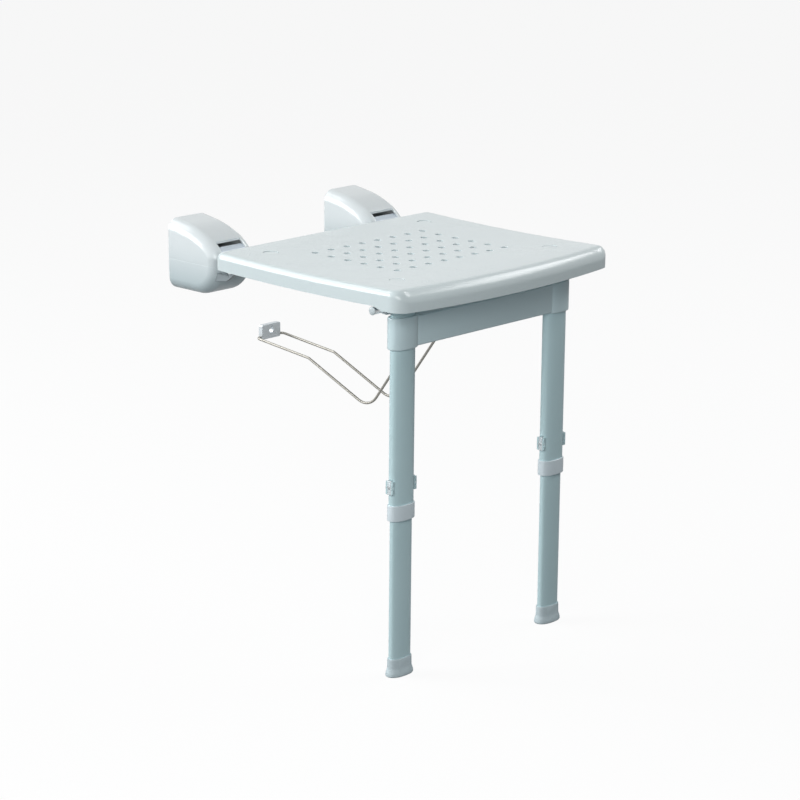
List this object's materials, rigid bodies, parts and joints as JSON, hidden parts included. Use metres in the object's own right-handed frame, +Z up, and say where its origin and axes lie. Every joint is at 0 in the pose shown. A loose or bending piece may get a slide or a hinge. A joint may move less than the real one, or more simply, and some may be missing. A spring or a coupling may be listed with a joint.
{
  "type": "fold-down wall seat",
  "caption": "Fold-down perforated wall seat on two wall brackets, with height-adjustable support legs joined by a crossbar and a bent wire link.",
  "frame": {"origin": "middle of the four wall screw holes, on the wall plane", "axes": "+Z up, -Y out from the wall towards the seat's front edge, +X to the right seen from the front"},
  "size_m": [0.416, 0.468, 0.558],
  "materials": {
    "seat_plastic": "smooth, softly glossy",
    "cap_plastic": "smooth",
    "cover_plastic": "smooth, softly glossy",
    "trim_plastic": "satin",
    "bracket_metal": "satin",
    "hinge_metal": "satin",
    "steel": "plain",
    "wire_steel": "drawn",
    "plate_steel": "satin",
    "axle_metal": "drawn",
    "ring_plastic": "satin",
    "collar_plastic": "smooth",
    "leg_paint": "gloss powder coat",
    "button_plastic": "smooth",
    "foot_rubber": "satin, pale grey"
  },
  "bodies": {
    "wall_side": {"bracket_cover_left": "cover_plastic", "bracket_cover_right": "cover_plastic", "bracket_base_left": "bracket_metal", "bracket_base_right": "bracket_metal", "bracket_insert_left": "trim_plastic", "bracket_insert_right": "trim_plastic", "link_wall_plate": "plate_steel", "hinge_pins": "steel"},
    "seat": {"seat_shell": "seat_plastic", "seat_screw_caps": "cap_plastic", "seat_screws": "steel", "hinge_arm_left": "hinge_metal", "hinge_arm_right": "hinge_metal", "axle_block_left": "hinge_metal", "axle_block_right": "hinge_metal", "leg_axle": "axle_metal", "axle_rings": "ring_plastic"},
    "leg_frame": {"leg_crossbar": "collar_plastic", "collar_screws": "steel", "link_saddle": "ring_plastic", "upper_tube_left": "leg_paint", "upper_tube_right": "leg_paint", "pivot_plug_left": "ring_plastic", "pivot_plug_right": "ring_plastic", "height_ferrule_left": "collar_plastic", "height_ferrule_right": "collar_plastic", "latch_pins": "steel", "latch_cheeks": "leg_paint", "latch_springs": "steel"},
    "link": {"wire_link": "wire_steel"},
    "lower_leg_left": {"lower_tube_left": "leg_paint", "guide_plug_left": "ring_plastic", "foot_left": "foot_rubber"},
    "button_left_outer": {"latch_left_outer": "button_plastic"},
    "button_left_inner": {"latch_left_inner": "button_plastic"},
    "lower_leg_right": {"lower_tube_right": "leg_paint", "guide_plug_right": "ring_plastic", "foot_right": "foot_rubber"},
    "button_right_outer": {"latch_right_outer": "button_plastic"},
    "button_right_inner": {"latch_right_inner": "button_plastic"}
  },
  "joints": [
    {"name": "seat_fold", "type": "hinge", "parent": "wall_side", "child": "seat", "pos_m": [0, -0.12, -0.002], "axis": [-1, 0, 0], "range_deg": [0, 90]},
    {"name": "leg_frame_swing", "type": "hinge", "parent": "seat", "child": "leg_frame", "pos_m": [0, -0.3975, -0.0095], "axis": [-1, 0, 0], "range_deg": [-90, 0]},
    {"name": "link_swing", "type": "hinge", "parent": "wall_side", "child": "link", "pos_m": [0, -0.0035, -0.1431], "axis": [-1, 0, 0], "range_deg": [0, 59.45]},
    {"name": "height_slide_left", "type": "slide", "parent": "leg_frame", "child": "lower_leg_left", "axis": [0, 0, -1], "range_m": [-0.02, 0.1]},
    {"name": "latch_left_outer_press", "type": "hinge", "parent": "leg_frame", "child": "button_left_outer", "pos_m": [-0.1717, -0.401, -0.2485], "axis": [0, 1, 0], "range_deg": [0, 11], "stiffness_Nm_per_rad": 0.02, "springref_deg": -11.46},
    {"name": "latch_left_inner_press", "type": "hinge", "parent": "leg_frame", "child": "button_left_inner", "pos_m": [-0.1283, -0.401, -0.2485], "axis": [0, -1, 0], "range_deg": [0, 11], "stiffness_Nm_per_rad": 0.02, "springref_deg": -11.46},
    {"name": "height_slide_right", "type": "slide", "parent": "leg_frame", "child": "lower_leg_right", "axis": [0, 0, -1], "range_m": [-0.02, 0.1]},
    {"name": "latch_right_outer_press", "type": "hinge", "parent": "leg_frame", "child": "button_right_outer", "pos_m": [0.1717, -0.401, -0.2485], "axis": [0, -1, 0], "range_deg": [0, 11], "stiffness_Nm_per_rad": 0.02, "springref_deg": -11.46},
    {"name": "latch_right_inner_press", "type": "hinge", "parent": "leg_frame", "child": "button_right_inner", "pos_m": [0.1283, -0.401, -0.2485], "axis": [0, 1, 0], "range_deg": [0, 11], "stiffness_Nm_per_rad": 0.02, "springref_deg": -11.46}
  ],
  "couplings": [
    {"joint": "leg_frame_swing", "follows": "seat_fold", "ratio": -1},
    {"joint": "link_swing", "follows": "seat_fold", "ratio": 0.66047}
  ]
}
